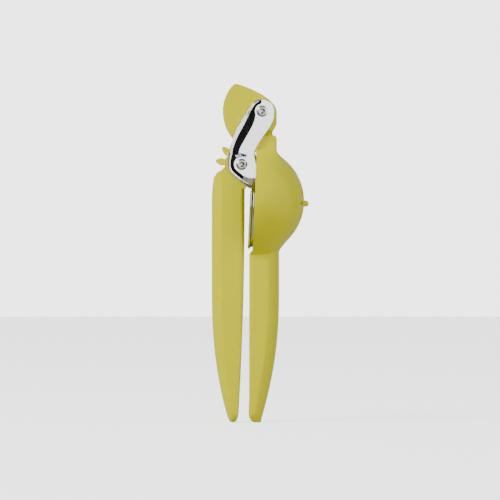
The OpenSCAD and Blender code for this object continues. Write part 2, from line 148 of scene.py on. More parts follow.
def section_reach(face, back, half_w, crown, mid, angle, corner=16):
    """Distance from mid to the edge of a grip section, along angle: two flat sides, a flat
    inner face and a back that is an arc of height crown. Values along z meet angles in a grid."""
    face, back, half_w, crown, mid = (
        np.asarray(v, float)[:, None] for v in (face, back, half_w, crown, mid))
    way = np.sign(back - face)
    c, s = np.cos(angle)[None] * way, np.sin(angle)[None]
    arc_r = (half_w ** 2 + crown ** 2) / 2 / crown
    arc_x = (back - mid) * way - arc_r
    to_arc = arc_x * c + np.sqrt(np.clip(arc_r ** 2 - (arc_x * s) ** 2, 0, None))
    to_side = half_w / np.clip(np.abs(s), 1e-4, None)
    to_face = np.where(c < -1e-4, np.abs(mid - face) / np.clip(-c, 1e-4, None), FAR)
    return soft_min([soft_min([to_arc, to_side], 60), to_face], corner)


def rings_at(z, mid, reach, angle):
    """Rings in level planes: mid plus reach along each angle."""
    x = mid[:, None] + reach * np.cos(angle)
    y = reach * np.sin(angle)
    return np.stack([x, y, np.broadcast_to(z[:, None], x.shape)], -1)


def taper(z):
    """How far a grip has narrowed: nothing at TAPER_FROM, 1 at the tip, as a power of the way."""
    return np.clip((TAPER_FROM - z) / (TAPER_FROM - TIP_Z), 0, 1) ** 2.3


def tip_share(z):
    """How far the round tip has closed, as a quarter circle of TIP_ROUND: 0 above it, 1 at its end."""
    return 1 - np.sqrt(np.clip(1 - (np.clip(TIP_Z + TIP_ROUND - z, 0, None) / TIP_ROUND) ** 2, 0, 1))


def grip_half_w(z):
    """Half width of either grip: its full value less the taper and the round of the tip."""
    return GRIP_HALF_W - 2.6 * taper(z) - 6.2 * tip_share(z)


def fixed_face(z):
    """X of the fixed grip's flat side, which meets the lever."""
    return GRIP_FACE + 5.0 * tip_share(z)


def fixed_back(z):
    """X of the fixed grip's rounded side, drawn in by the taper."""
    return GRIP_BACK - 13.2 * taper(z) - 0.6 * tip_share(z)


def tip_heights():
    """Heights that close up towards the round tip, as the sine of an even angle."""
    return TIP_Z + TIP_ROUND * (1 - np.sin(np.radians(np.linspace(89, 4, 14))))


def grip_pocket(name, face, back, top, foot):
    """One cored pocket between two ribs: a grip section drawn in by the wall."""
    angle = np.linspace(0, 2 * np.pi, 64, endpoint=False)
    z = np.linspace(foot, top, 9)
    way = np.sign(back(z) - face(z))
    a, b = face(z) - 3 * way, back(z) - GRIP_WALL * way
    half_w = grip_half_w(z) - GRIP_WALL
    crown = np.minimum(np.minimum(GRIP_CROWN, np.abs(b - a) / 2), half_w * 0.9)
    mid = (a + b) / 2
    return ring_solid(name, rings_at(z, mid, section_reach(a, b, half_w, crown, mid, angle), angle))


def pocket_row(face, back, top, foot, count):
    """Equal pockets in a row from top down to foot, with a rib between neighbours."""
    pitch = (top - foot) / count
    return join("pockets", [
        grip_pocket("pocket", face, back, top - pitch * k - RIB / 2,
                    top - pitch * (k + 1) + RIB / 2) for k in range(count)])


def join(name, pieces):
    """One object from several that don't touch each other."""
    bpy.ops.object.select_all(action="DESELECT")
    for piece in pieces:
        piece.select_set(True)
    bpy.context.view_layer.objects.active = pieces[0]
    bpy.ops.object.join()
    pieces[0].name = name
    pieces[0].select_set(False)
    return pieces[0]


def prism(name, outline, y0, y1):
    """A plate with a side outline of (x, z) points, counter-clockwise as seen from -Y."""
    n = len(outline)
    flat = np.asarray(outline, float)
    near = np.stack([flat[:, 0], np.full(n, y0), flat[:, 1]], 1)
    far = near + [0, y1 - y0, 0]
    sides = [[i, n + i, n + (i + 1) % n, (i + 1) % n] for i in range(n)]
    return mesh_piece(name, np.concatenate([near, far]),
                      [list(range(n)), list(range(2 * n - 1, n - 1, -1))] + sides)


def cross_rod(name, x, z, r, y0, y1, round_=48):
    """A round rod along Y, about (x, z)."""
    a = np.linspace(0, 2 * np.pi, round_, endpoint=False)
    return prism(name, np.stack([x + r * np.cos(a), z + r * np.sin(a)], 1), y0, y1)


def on_bowl_axis(across, up, along):
    """Places across (+Y), up and along the bowl's axis, which tilts down towards the nipple."""
    c, s = math.cos(BOWL_TILT), math.sin(BOWL_TILT)
    return BOWL_CENTRE + np.stack([along * c + up * s, across, up * c - along * s], -1)


def turned(name, profile, round_=ROUND, sharp=CUT_SHARP):
    """Profile of (radius, along) points, spun round the bowl's axis; starts and ends on it."""
    a = np.linspace(0, 2 * np.pi, round_, endpoint=False)
    r = np.maximum(np.array([p[0] for p in profile]), 1e-3)[:, None]
    along = np.array([p[1] for p in profile])[:, None] + 0 * a
    return ring_solid(name, on_bowl_axis(r * np.cos(a), r * np.sin(a), along), sharp)


def arc_points(r, start, end, count, centre=(0.0, 0.0)):
    """Points on an arc of radius r round centre, from start to end degrees."""
    a = np.radians(np.linspace(start, end, count))
    return np.stack([centre[0] + r * np.cos(a), centre[1] + r * np.sin(a)], 1)


def bowl_frame_skin():
    """Outer skin in level rings: the grip's section, the bowl's circle at that height and the
    neck's rectangle, each as a reach from the middle line, joined by round blends."""
    angle = np.linspace(0, 2 * np.pi, ROUND, endpoint=False)
    bowl_z = BOWL_CENTRE[2] - BOWL_R * np.cos(np.radians(np.linspace(8, 172, 170)))
    z = np.unique(np.round(np.concatenate([
        tip_heights(), np.arange(TIP_Z + TIP_ROUND, -103, 1.6), np.arange(-103, -86, 0.45), bowl_z,
        np.arange(-38, NECK_TOP - NECK_SLOPE, 0.45),
        NECK_TOP - NECK_SLOPE * (1 - np.linspace(0, 0.999, 4))]), 4))
    z = z[z < NECK_TOP]
    lift = np.clip((z + 99) / 75, 0, 1)
    mid = (fixed_face(z) + fixed_back(z)) / 2 * (1 - lift) + 2.7 * lift
    crown = np.minimum(GRIP_CROWN, grip_half_w(z) * 0.9)
    crown = np.minimum(crown, (fixed_back(z) - fixed_face(z)) / 2)
    grip = section_reach(fixed_face(z), fixed_back(z), grip_half_w(z), crown, mid, angle)
    below = np.clip((BOWL_CENTRE[2] - z) / 10, 0, 1)[:, None]
    c, s = np.cos(angle)[None], np.sin(angle)[None]
    ease, slope = (r - np.sqrt(np.clip(r ** 2 - np.clip(z - NECK_TOP + r, 0, r) ** 2, 0, None))
                   for r in (NECK_ROUND, NECK_SLOPE))
    to_front = np.where(c > 1e-4, (NECK[1] - slope - mid)[:, None] / np.clip(c, 1e-4, None), FAR)
    to_rear = np.where(c < -1e-4, (mid - NECK[0] - ease)[:, None] / np.clip(-c, 1e-4, None), FAR)
    to_sides = (NECK[2] - ease)[:, None] / np.clip(np.abs(s), 1e-4, None)
    neck = soft_min([to_front, to_rear, to_sides], 18)
    stem = grip * below + neck * (1 - below)
    dx = (mid - BOWL_CENTRE[0])[:, None]
    level = (BOWL_R ** 2 - (z - BOWL_CENTRE[2]) ** 2)[:, None]
    inside = level - (dx * s) ** 2
    bowl = np.where(inside > 0, -dx * c + np.sqrt(np.clip(inside, 0, None)), 0)
    bowl = np.clip(bowl, 0, None)
    blend = np.where(z < BOWL_CENTRE[2], 8.0, 5.0)[:, None] + 6 * s ** 2
    return ring_solid("bowl_frame_skin", rings_at(z, mid, soft_max(stem, bowl, blend), angle))


def drain_slot(turn):
    """A slot with round ends, radial from the nipple, cut along the bowl's axis."""
    half, start, end = SLOT
    ends = np.concatenate([arc_points(half, -90, 90, 9, (end - half, 0)),
                           arc_points(half, 90, 270, 9, (start + half, 0))])
    c, s = math.cos(turn), math.sin(turn)
    across = ends[:, 0] * c - ends[:, 1] * s
    up = ends[:, 0] * s + ends[:, 1] * c
    rings = [on_bowl_axis(across, up, np.full(len(ends), a)) for a in (25.0, 45.0)]
    return ring_solid("drain_slot", np.stack(rings))


def open_side():
    """Everything behind the rim plane, the rear of the neck and the face of the grip."""
    rim = [on_bowl_axis(np.array(0.0), np.array(u), np.array(RIM_SETBACK)) for u in (-33.0, 32.0)]
    outline = [(-60, -102), (GRIP_FACE + 0.02, -102), (GRIP_FACE + 0.02, -97.2), (-8.2, -95.6),
               (rim[0][0] - 0.5, rim[0][2] - 0.9), (rim[0][0], rim[0][2]), (rim[1][0], rim[1][2]),
               (NECK[0] + 0.02, -26.4), (NECK[0] + 0.02, -20), (-60, -20)]
    return prism("open_side", outline, -60, 60)


def nylon(name, colour, shade):
    """Moulded nylon: a fine grain in the gloss, faint flow marks in the colour."""
    material = bpy.data.materials.new(name)
    material.use_nodes = True
    nodes, links = material.node_tree.nodes, material.node_tree.links
    shader = nodes["Principled BSDF"]
    place_at = nodes.new("ShaderNodeTexCoord")
    flow = nodes.new("ShaderNodeTexNoise")
    flow.inputs["Scale"].default_value = 26
    flow.inputs["Detail"].default_value = 3
    tint = nodes.new("ShaderNodeMix")
    tint.data_type = "RGBA"
    tint.inputs["A"].default_value = (*colour, 1)
    tint.inputs["B"].default_value = (*shade, 1)
    grain = nodes.new("ShaderNodeTexNoise")
    grain.inputs["Scale"].default_value = 2600
    grain.inputs["Detail"].default_value = 2
    spread = nodes.new("ShaderNodeMapRange")
    spread.inputs["To Min"].default_value = 0.24
    spread.inputs["To Max"].default_value = 0.36
    bump = nodes.new("ShaderNodeBump")
    bump.inputs["Strength"].default_value = 0.12
    bump.inputs["Distance"].default_value = 0.00006
    corner = nodes.new("ShaderNodeBevel")
    corner.samples = 6
    corner.inputs["Radius"].default_value = 0.0006
    links.new(corner.outputs["Normal"], bump.inputs["Normal"])
    for texture in (flow, grain):
        links.new(place_at.outputs["Object"], texture.inputs["Vector"])
    links.new(flow.outputs["Fac"], tint.inputs["Factor"])
    links.new(tint.outputs["Result"], shader.inputs["Base Color"])
    links.new(flow.outputs["Fac"], spread.inputs["Value"])
    links.new(spread.outputs["Result"], shader.inputs["Roughness"])
    links.new(grain.outputs["Fac"], bump.inputs["Height"])
    links.new(bump.outputs["Normal"], shader.inputs["Normal"])
    shader.inputs["IOR"].default_value = 1.5
    shader.inputs["Specular IOR Level"].default_value = 0.35
    shader.inputs["Specular Tint"].default_value = (1, 0.95, 0.4, 1)
    return material


def finish_piece(piece, material, body, slot, *nodes):
    """Gives a new piece its material and body, and hides the CAD nodes that it stands for."""
    piece.data.materials.clear()
    piece.data.materials.append(material)
    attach(piece, body)
    if nodes:
        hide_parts(*nodes)


def finish_node(material, *names):
    """Gives CAD nodes, which keep their shape, a better material."""
    for name in names:
        node = frame["nodes"][name]
        node.data.materials.clear()
        node.data.materials.append(material)


yellow = nylon("yellow_nylon", (0.94, 0.88, 0.0), (0.90, 0.82, 0.0))
casting = bowl_frame_skin()
cut(casting, open_side())
cut(casting, turned("cavity", arc_points(CAVITY_R, -90, 90, 90)))
nipple_tip = [tuple(p) for p in arc_points(NIPPLE_R, 0, 90, 10, (0, 37.9))]
nipple = turned("nipple", [(0, 34.5), (NIPPLE_R, 34.6)] + nipple_tip, 48)
cut(casting, nipple, "UNION")
cut(casting, join("slots", [drain_slot(2 * math.pi * k / SLOTS) for k in range(SLOTS)]))
TAIL = (-2.0, 7.0, -26.7)          # back, front and foot of the fixed gear's tail
cut(casting, prism("tail_slot", [(TAIL[0], TAIL[2]), (TAIL[1], TAIL[2]), (TAIL[1], 0), (TAIL[0], 0)],
                   -6.8, 6.8))
cut(casting, prism("gear_room", [(-8, -29.7), (TAIL[0] + 0.01, -29.7), (TAIL[0] + 0.01, 0), (-8, 0)],
                   -7.0, 7.0))
cut(casting, join("dowel_holes", [cross_rod("hole", 2.5, z, DOWEL_R, -10, 13) for z in (-19, -24)]))
POCKET_TOP, POCKET_FOOT = -101.3, TIP_Z + 12
cut(casting, pocket_row(fixed_face, fixed_back, POCKET_TOP, POCKET_FOOT, 5))
casting.name = "bowl_and_grip"
finish_piece(casting, yellow, "frame", "yellow_nylon", "bowl_frame")

# ---- Head ------------------------------------------------------------------------
# Two round-edged yellow nylon leaves with the toothed sector between them, held by steel
# dowels: the sector's tail is pinned in the neck, and the upper pin's bush goes through all.
LEAF_R = 26.625
LEAF_DIR = 141
LEAF_TIP = 3.2
LEAF_REAR = 4.8                    # rear side of a leaf, below its arc
LEAF_SIDES = (6.8, 12.0)           # inner and outer side of a leaf, from the middle
BORE = 3.55                        # radius round a bush
EDGE = 1.1


def bezier(points, count):
    """Points on a curve that leaves the first point towards the second and ends from the third."""
    t = np.linspace(0, 1, count)[:, None]
    a, b, c, d = (np.array(p, float) for p in points)
    s = 1 - t
    return s ** 3 * a + 3 * s * s * t * b + 3 * s * t * t * c + t ** 3 * d


def polar(r, degrees):
    """The (x, z) offset of length r, at degrees up from +X."""
    return np.array([r * math.cos(math.radians(degrees)), r * math.sin(math.radians(degrees))])


def eased(piece, width, angle=50, segments=4):
    """Rounds the edges that turn by more than angle, and keeps the flats flat."""
    edge = piece.modifiers.new("edge", "BEVEL")
    edge.width = width * 0.001
    edge.segments = segments
    edge.limit_method = "ANGLE"
    edge.angle_limit = math.radians(angle)
    edge.harden_normals = True


def leaf(name, y0, y1):
    """A head leaf: curved front, rounded upper corner and an arc round the upper pin."""
    end = 180 + math.degrees(math.acos(LEAF_REAR / LEAF_R))
    outline = np.concatenate([
        [(7, -13), (NECK[1] - 1.3, -10.7), (NECK[1], -8)],
        bezier([(NECK[1], -1), (NECK[1], 8), (-5, 14.4), (-14.5, 17.9)], 20),
        arc_points(LEAF_TIP, 76, 128, 7, polar(LEAF_R - LEAF_TIP, LEAF_DIR - 2)),
        arc_points(LEAF_R, LEAF_DIR, end, 48), [(-LEAF_REAR, -13)]])
    piece = prism(name, outline, y0, y1)
    cut(piece, cross_rod("bore", 0, 0, BORE, y0 - 1, y1 + 1))
    holes = [cross_rod("hole", x, z, DOWEL_R, -10, 10) for x, z in ((-13, 9), (-12, -9))]
    cut(piece, join("holes", holes))
    eased(piece, EDGE)
    return piece


for side, word in ((-1, "right"), (1, "left")):
    plate = leaf("head_leaf_" + word, *sorted(side * s for s in LEAF_SIDES))
    finish_piece(plate, yellow, "frame", "yellow_nylon", "gear_cover_" + word)

finish_node(yellow, "fixed_gear", "lever_gear")


def bare_metal(name, colour, rough, grain, stretch=(1, 1, 1)):
    """Bare metal: a low gloss that varies along fine scratches, and a faint waviness."""
    material = bpy.data.materials.new(name)
    material.use_nodes = True
    nodes, links = material.node_tree.nodes, material.node_tree.links
    shader = nodes["Principled BSDF"]
    shader.inputs["Base Color"].default_value = (*colour, 1)
    shader.inputs["Metallic"].default_value = 1
    place_at = nodes.new("ShaderNodeTexCoord")
    along = nodes.new("ShaderNodeMapping")
    along.inputs["Scale"].default_value = stretch
    scratch = nodes.new("ShaderNodeTexNoise")
    scratch.inputs["Scale"].default_value = grain
    scratch.inputs["Detail"].default_value = 4
    spread = nodes.new("ShaderNodeMapRange")
    spread.inputs["To Min"].default_value = rough * 0.7
    spread.inputs["To Max"].default_value = rough * 1.5
    bump = nodes.new("ShaderNodeBump")
    bump.inputs["Strength"].default_value = 0.05
    bump.inputs["Distance"].default_value = 0.00002
    links.new(place_at.outputs["Object"], along.inputs["Vector"])
    links.new(along.outputs["Vector"], scratch.inputs["Vector"])
    links.new(scratch.outputs["Fac"], spread.inputs["Value"])
    links.new(spread.outputs["Result"], shader.inputs["Roughness"])
    links.new(scratch.outputs["Fac"], bump.inputs["Height"])
    links.new(bump.outputs["Normal"], shader.inputs["Normal"])
    return material


dowel_steel = bare_metal("dowel_steel", (0.5, 0.5, 0.5), 0.35, 900)
finish_node(dowel_steel, "cover_dowels", "neck_dowels", "lever_dowels", "upper_bush", "lower_bush")


def clear_nylon():
    """Clear nylon: a milky plastic with a faint uneven haze."""
    material = bpy.data.materials.new("clear_nylon")
    material.use_nodes = True
    nodes, links = material.node_tree.nodes, material.node_tree.links
    shader = nodes["Principled BSDF"]
    place_at = nodes.new("ShaderNodeTexCoord")
    haze = nodes.new("ShaderNodeTexNoise")
    haze.inputs["Scale"].default_value = 400
    tint = nodes.new("ShaderNodeMix")
    tint.data_type = "RGBA"
    tint.inputs["A"].default_value = (0.80, 0.80, 0.76, 1)
    tint.inputs["B"].default_value = (0.72, 0.72, 0.67, 1)
    links.new(place_at.outputs["Object"], haze.inputs["Vector"])
    links.new(haze.outputs["Fac"], tint.inputs["Factor"])
    links.new(tint.outputs["Result"], shader.inputs["Base Color"])
    shader.inputs["Roughness"].default_value = 0.3
    shader.inputs["Subsurface Weight"].default_value = 0.3
    shader.inputs["Subsurface Radius"].default_value = (0.001, 0.001, 0.0008)
    return material


finish_node(clear_nylon(), "upper_washers", "lower_washers")

# ---- Lever -----------------------------------------------------------------------
# A yellow nylon moulding like the fixed grip, with a hub of two cheeks at its top. The pinion
# sits between the cheeks, and two dowels through its tail make it turn with the lever.
LEVER_FACE = -11.8
LEVER_BACK = -34.2
SHOULDER = LOWER_PIN[2] - 4.7
HUB_R = 11.375
PINION_ROOT = 11.6875
PINION_TIP = 17.875
CHEEK = 6.6                        # inner side of a cheek, from the middle
LEVER_POCKETS = 6


def lever_face(z):
    """X of the lever's flat side, which bows away from the fixed grip towards the tip."""
    drop = np.clip((BOWL_CENTRE[2] - z) / (BOWL_CENTRE[2] - TIP_Z), 0, None)
    return LEVER_FACE - 3.0 * tip_share(z) - 4.5 * drop ** 2


def lever_back(z):
    """X of the lever's rounded side, drawn in by the taper below and a little at the shoulder."""
    rise = np.clip((z - BOWL_CENTRE[2]) / (SHOULDER - BOWL_CENTRE[2]), 0, None)
    return LEVER_BACK + 11.7 * taper(z) + 0.8 * tip_share(z) + 2.0 * rise ** 2


def lever_skin():
    """The lever's grip in level rings, up to the shoulder; its crown thins out at the top."""
    angle = np.linspace(0, 2 * np.pi, ROUND, endpoint=False)
    z = np.concatenate([tip_heights(), np.arange(TIP_Z + TIP_ROUND, SHOULDER + 2.4, 1.2)])
    face, back = lever_face(z), lever_back(z)
    half_w = grip_half_w(z)
    crown = np.minimum(np.minimum(GRIP_CROWN, (face - back) / 2), half_w * 0.9)
    crown = crown - 3.2 * np.clip((z - SHOULDER + 13) / 13, 0, 1) ** 2
    mid = (face + back) / 2
    return ring_solid("lever_skin",
                      rings_at(z, mid, section_reach(face, back, half_w, crown, mid, angle), angle))


pin = LOWER_PIN[[0, 2]]
lever = lever_skin()
cut(lever, prism("over_shoulder", [(-50, SHOULDER - 6), (LEVER_BACK + 2.2, SHOULDER - 3.0),
                                   (LEVER_BACK + 3.4, SHOULDER - 0.8), (LEVER_BACK + 6.5, SHOULDER + 0.9),
                                   (LEVER_BACK + 9, SHOULDER + 3.0), (-20, 0), (-50, 0)], -20, 20))
block_outline = [pin + polar(HUB_R - 1, 181), (LEVER_BACK + 6.5, SHOULDER + 0.8),
                 (LEVER_BACK + 8.5, SHOULDER - 6), (LEVER_FACE - 0.2, SHOULDER - 12),
                 pin + polar(HUB_R - 1, 328)]
neck_block = prism("neck_block", block_outline, -GRIP_HALF_W + 0.02, GRIP_HALF_W - 0.02)
cut(lever, neck_block, "UNION")
cut(lever, cross_rod("hub", *pin, HUB_R, -GRIP_HALF_W, GRIP_HALF_W, 120), "UNION")
cut(lever, cross_rod("pinion_room", *pin, PINION_TIP + 0.4, -CHEEK, CHEEK, 120))
tail = [pin + polar(PINION_ROOT, 190), pin + polar(PINION_ROOT, 190) + [0, -17], pin + [-1, -19],
        pin + [0.6, -15.5], pin + polar(PINION_ROOT, 300)]
cut(lever, prism("tail_room", tail, -CHEEK, CHEEK))
cut(lever, cross_rod("bore", *pin, BORE, -20, 20))
cut(lever, join("dowel_holes", [cross_rod("hole", *(pin + polar(*at)), DOWEL_R, -10, 13)
                                for at in ((8, 215), (13.5, 262))]))
cut(lever, pocket_row(lever_face, lever_back, BOWL_CENTRE[2] - 2, POCKET_FOOT, LEVER_POCKETS))
lever.name = "lever_grip"
finish_piece(lever, yellow, "lever", "yellow_nylon", "lever_handle")

# ---- Plunger ---------------------------------------------------------------------
# A hollow pressed-steel dome whose lip follows the bowl's wall, held between a pair of pressed
# arms. Each arm has a raised land, a sunk channel along its outer side and a rolled edge.
DOME_R = 27.5
DOME_WALL = 1.6
LIP_R = 32.5
GROOVE_R = 31.2
CUT_DIR = 61.7
CUT_AT = PINION_ROOT + 1.66
ARM_SIDES = (12.6, 14.6)           # inner and outer face of an arm, from the middle
TOP_R, KNEE_R = 8.2, 9.3
CHANNEL_SLOPE = 0.287
RIM_SLOPE = 1.0
RIM_CREST = 0.35
ARM_GRID = 0.23
ARM_SHARP = 42                     # edges of an arm that turn by more degrees stay sharp
DOME_SHARP = 45                    # the same for the dome
ROLL = 0.5
PIN_R = 2.5


def dome():
    """Profile from the inner pole round the beaded lip to the outer pole, spun."""
    inner = arc_points(DOME_R - DOME_WALL, 90, 12, 40)
    outer = arc_points(DOME_R, 12, 90, 40)
    lip = [(GROOVE_R - DOME_WALL, 2.6), (GROOVE_R - DOME_WALL, 0.3), (GROOVE_R - DOME_WALL + 0.5, -0.2),
           (LIP_R - 0.7, -0.2), (LIP_R - 0.2, 0.1), (LIP_R, 0.6), (LIP_R - 0.2, 1.15), (LIP_R - 0.8, 1.45),
           (GROOVE_R, 1.75), (GROOVE_R - 0.15, 2.3), (GROOVE_R, 2.9), (GROOVE_R - 0.5, 3.4),
           (DOME_R + 0.9, 4.2), (DOME_R + 0.1, 5.0)]
    profile = [tuple(p) for p in inner] + lip + [tuple(p) for p in outer]
    return turned("plunger_shell", profile, 200, DOME_SHARP)


def far_side(name):
    """All on the bowl's side of the slanting plane that clears the pinion."""
    c, s = math.cos(math.radians(90 - CUT_DIR)), math.sin(math.radians(90 - CUT_DIR))
    out, along = np.array([c, -s]), np.array([s, c])
    foot = pin + CUT_AT * out
    return prism(name, [foot - 150 * along, foot + 150 * out - 150 * along,
                        foot + 150 * out + 150 * along, foot + 150 * along], -60, 60)


shell = dome()
cut(shell, far_side("keep"), "INTERSECT", DOME_SHARP)
cut(shell, cross_rod("pinion_window", *pin, PINION_TIP + 0.6, -7.6, 7.6, 120), sharp=DOME_SHARP)


def outer_edge():
    """The arm's rolled edge: from the front of its eye round the back and down to its foot."""
    return np.concatenate([
        arc_points(TOP_R, 20, 146, 40),
        bezier([polar(TOP_R, 150), polar(14.6, 202), (-22.8, -18.5), pin + polar(KNEE_R, 175)], 50),
        arc_points(KNEE_R, 185, 232, 16, pin),
        [pin + [0.3, -12.6], pin + [5.9, -16]]])


def arm_outline():
    """The whole outline: rolled edge, the flank inside the bowl and the hollow front edge."""
    top = BOWL_CENTRE[[0, 2]] + polar(10.6, 29)
    return np.concatenate([
        arc_points(TOP_R, -12, 18, 10), outer_edge(),
        [(top[0], top[1] - 1.5), (BOWL_CENTRE[0] + DOME_R, top[1] - 1.5),
         (BOWL_CENTRE[0] + DOME_R, pin[1] - 5), (-0.4, pin[1] - 4.6), (-3.4, pin[1] - 1.2),
         (-4.9, pin[1] + 5)],
        bezier([(-5.3, pin[1] + 7.4), (-2.5, -18), (TOP_R, -11.5), (TOP_R, -1.7)], 30)[:-1]])


def edge_distance(points, line):
    """Distance from each (x, z) to the nearest point of an open line of straight steps."""
    best = np.full(len(points), FAR)
    for a, b in zip(line[:-1], line[1:]):
        step = b - a
        t = np.clip((points - a) @ step / max(step @ step, 1e-9), 0, 1)
        best = np.minimum(best, np.linalg.norm(points - a - t[:, None] * step, axis=1))
    return best


def inside(points, shape):
    """Whether each (x, z) is in a closed shape, by the number of sides that it is level with."""
    shape = np.asarray(shape, float)
    odd = np.zeros(len(points), bool)
    for a, b in zip(shape, np.roll(shape, -1, 0)):
        spans = (a[1] > points[:, 1]) != (b[1] > points[:, 1])
        rise = b[1] - a[1] if b[1] != a[1] else 1e-9
        odd ^= spans & (points[:, 0] < a[0] + (points[:, 1] - a[1]) / rise * (b[0] - a[0]))
    return odd


def land():
    """The raised flat: round the upper eye, down the front of the arm and round the lower eye."""
    return np.concatenate([
        [(-0.5, 20), (-0.5, 5.4)], arc_points(4.9, 100, 205, 12),
        bezier([(-4.8, -4.4), (-5.6, -10.0), (-12.2, -19.0), (-15.6, -26.2)], 14),
        [(-15.8, -28.6), (-14.8, -30.6)],
        arc_points(5.3, 96, 215, 10, pin),
        [(-16.2, -40.6), (-12.6, -43.6), (-8.6, -45.2), (30, -45.2), (30, 20)]])


# A narrow groove, an arc over the lower pin
HOOK = np.concatenate([arc_points(7.0, 124, 58, 14, pin), arc_points(5.7, 58, 124, 14, pin)])


def arm_height(at):
    """Height of the pressed face above the arm's inner side: the land is the full thickness,
    the channel slopes down from its border, and the rim climbs again to the rolled edge."""
    flat = land()
    thick = ARM_SIDES[1] - ARM_SIDES[0]
    off_land = np.where(inside(at, flat), 0, edge_distance(at, np.concatenate([flat, flat[:1]])))
    rim = edge_distance(at, outer_edge())
    height = np.maximum(thick - CHANNEL_SLOPE * off_land,
                        thick - RIM_SLOPE * np.clip(rim - RIM_CREST, 0, None))
    slant = thick - 0.1 - CHANNEL_SLOPE * (-8.8 - np.minimum(at[:, 0], -8.8))
    sunk = np.clip(edge_distance(at, np.concatenate([HOOK, HOOK[:1]])) / 0.4, 0, 1) * inside(at, HOOK)
    height = height + (np.minimum(height, slant) - height) * sunk
    return np.clip(height, 0.45, thick)


def even_outline(outline, step):
    """The outline in even steps, its corners eased by the mean of five neighbours."""
    closed = np.concatenate([outline, outline[:1]])
    run = np.concatenate([[0], np.cumsum(np.linalg.norm(np.diff(closed, axis=0), axis=1))])
    at = np.linspace(0, run[-1], int(run[-1] / step), endpoint=False)
    even = np.stack([np.interp(at, run, closed[:, 0]), np.interp(at, run, closed[:, 1])], 1)
    return sum(np.roll(even, k, 0) for k in range(-2, 3)) / 5


def inward_ways(outline):
    """The way in at each point of a counter-clockwise outline: its run, turned left."""
    ahead = np.roll(outline, -1, 0) - np.roll(outline, 1, 0)
    ahead /= np.linalg.norm(ahead, axis=1)[:, None]
    return np.stack([-ahead[:, 1], ahead[:, 0]], 1)


def pressed_face(name, side, outline):
    """The arm's field of heights on an even grid, its bends eased by the mean of neighbours,
    with a flat back, cut to an outline."""
    low, high = outline.min(0) - 1, outline.max(0) + 1
    x, z = np.meshgrid(np.arange(low[0], high[0], ARM_GRID), np.arange(low[1], high[1], ARM_GRID),
                       indexing="ij")
    at = np.stack([x.ravel(), z.ravel()], 1)
    height = arm_height(at).reshape(x.shape)
    for _ in range(2):
        for axis in (0, 1):
            height = (np.roll(height, 1, axis) + height + np.roll(height, -1, axis)) / 3
    index = np.arange(x.size).reshape(x.shape)
    quads = np.stack([index[:-1, :-1], index[1:, :-1], index[1:, 1:], index[:-1, 1:]], -1).reshape(-1, 4)
    border = np.concatenate([index[:, 0], index[-1, 1:], index[-2::-1, -1], index[0, -2:0:-1]])
    turn = np.arange(len(border))
    after = np.roll(turn, -1)
    walls = np.stack([border, x.size + turn, x.size + after, border[after]], 1)
    top = np.stack([at[:, 0], side * (ARM_SIDES[0] + height.ravel()), at[:, 1]], 1)
    foot = np.stack([at[border, 0], np.full(len(border), side * ARM_SIDES[0]), at[border, 1]], 1)
    faces = quads.tolist() + [(x.size + turn[::-1]).tolist()] + walls.tolist()
    faces = [f[::-1] for f in faces] if side > 0 else faces
    block = mesh_piece(name, np.concatenate([top, foot]), faces, ARM_SHARP)
    cut(block, prism("outline", outline, -20, 20), "INTERSECT", ARM_SHARP)
    return block


def rolled_border(name, side, outline):
    """The arm's rounded border: one section carried round the outline, level with the face."""
    inward = inward_ways(outline)
    level = arm_height(outline + ROLL * inward)
    lap = ROLL + 0.12
    bend = np.radians([0, 22, 45, 68, 90])
    drawn_in = np.concatenate([[lap, 0], ROLL * (1 - np.cos(bend)), [lap]])
    height = np.concatenate([np.zeros((len(outline), 2)), level[:, None] - ROLL + ROLL * np.sin(bend),
                             arm_height(outline + lap * inward)[:, None]], 1)
    place_in = outline[:, None] + drawn_in[:, None] * inward[:, None]
    points = np.stack([place_in[..., 0], side * (ARM_SIDES[0] + height), place_in[..., 1]], -1)
    n, m = points.shape[:2]
    i, k = np.meshgrid(np.arange(n), np.arange(m), indexing="ij")
    corner = [i * m + k, (i + 1) % n * m + k, (i + 1) % n * m + (k + 1) % m, i * m + (k + 1) % m]
    faces = np.stack(corner, -1).reshape(-1, 4).tolist()
    faces = [f[::-1] for f in faces] if side > 0 else faces
    return mesh_piece(name, points.reshape(-1, 3), faces, ARM_SHARP)


def arm(name, side):
    """Pressed face and rolled border in one, less what would cross the dome, with two eyes."""
    outline = even_outline(arm_outline(), 0.4)
    drawn_in = outline + (ROLL + 0.05) * inward_ways(outline)
    block = pressed_face(name, side, drawn_in)
    cut(block, rolled_border("border", side, outline), "UNION", ARM_SHARP)
    waste = far_side("waste")
    cut(waste, turned("hollow", arc_points(DOME_R - DOME_WALL, -90, 90, 60)))
    cut(block, waste, sharp=ARM_SHARP)
    eyes = [cross_rod("eye", *c, PIN_R, -20, 20) for c in ((0, 0), pin)]
    cut(block, join("eyes", eyes), sharp=ARM_SHARP)
    return block


steel = bare_metal("polished_steel", (0.82, 0.82, 0.82), 0.09, 500, (1, 1, 0.12))
finish_piece(shell, steel, "plunger", "polished_steel", "plunger_dome")
for side, word in ((-1, "right"), (1, "left")):
    finish_piece(arm("side_arm_" + word, side), steel, "plunger", "polished_steel", "arm_" + word)
finish_node(steel, "bridge")

# ---- Pins ------------------------------------------------------------------------
# Steel pins through both arms, spun over at each end into a shallow head with a dimple. They
# turn in steel bushes, and the plunger hangs from the upper one and carries the lower one.
HEAD_R = 3.9
HEAD_H = 1.2


